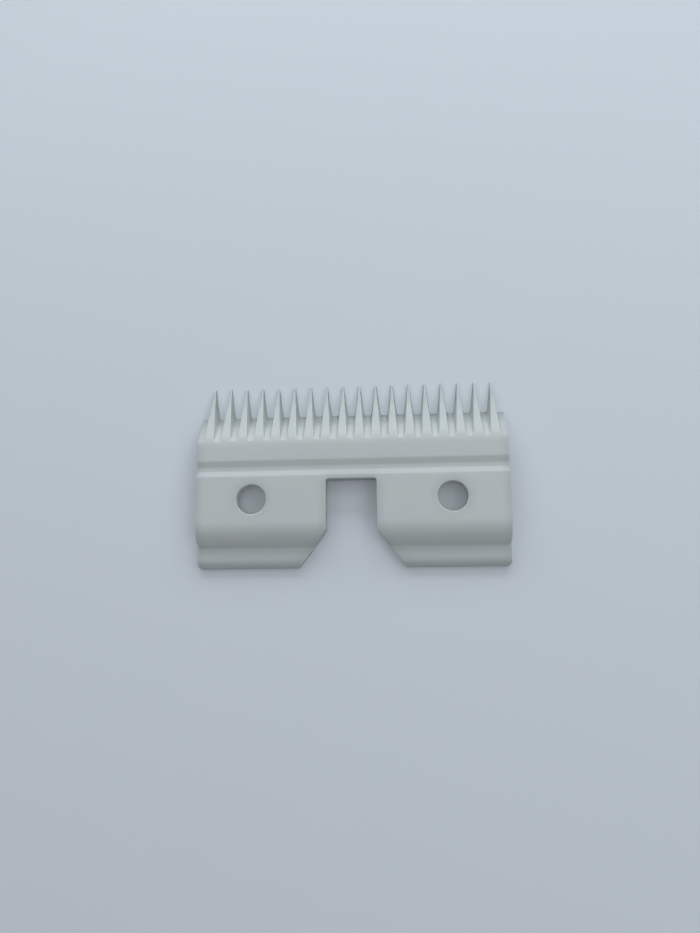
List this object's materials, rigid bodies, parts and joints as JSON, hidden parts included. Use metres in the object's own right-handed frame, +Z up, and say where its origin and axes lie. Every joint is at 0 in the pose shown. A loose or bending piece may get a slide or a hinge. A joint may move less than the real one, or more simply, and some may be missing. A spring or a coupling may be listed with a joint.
{
  "type": "ceramic clipper blade",
  "caption": "Flat white ceramic cutter for a hair clipper: a comb of tapered teeth, a ridge and groove, a platform with fixing holes, and a drive notch open to the rear.",
  "frame": {"origin": "centre of the bounding box, on the cutting face that the blade lies on", "axes": "+Y towards the tooth tips, +X along the row of teeth, +Z up, away from the cutting face"},
  "size_m": [0.0506, 0.0305, 0.0036],
  "materials": {
    "ceramic_white": "satin, as sintered, with a lapped cutting face"
  },
  "bodies": {
    "root": {"cutter_blade": "ceramic_white"}
  },
  "joints": []
}
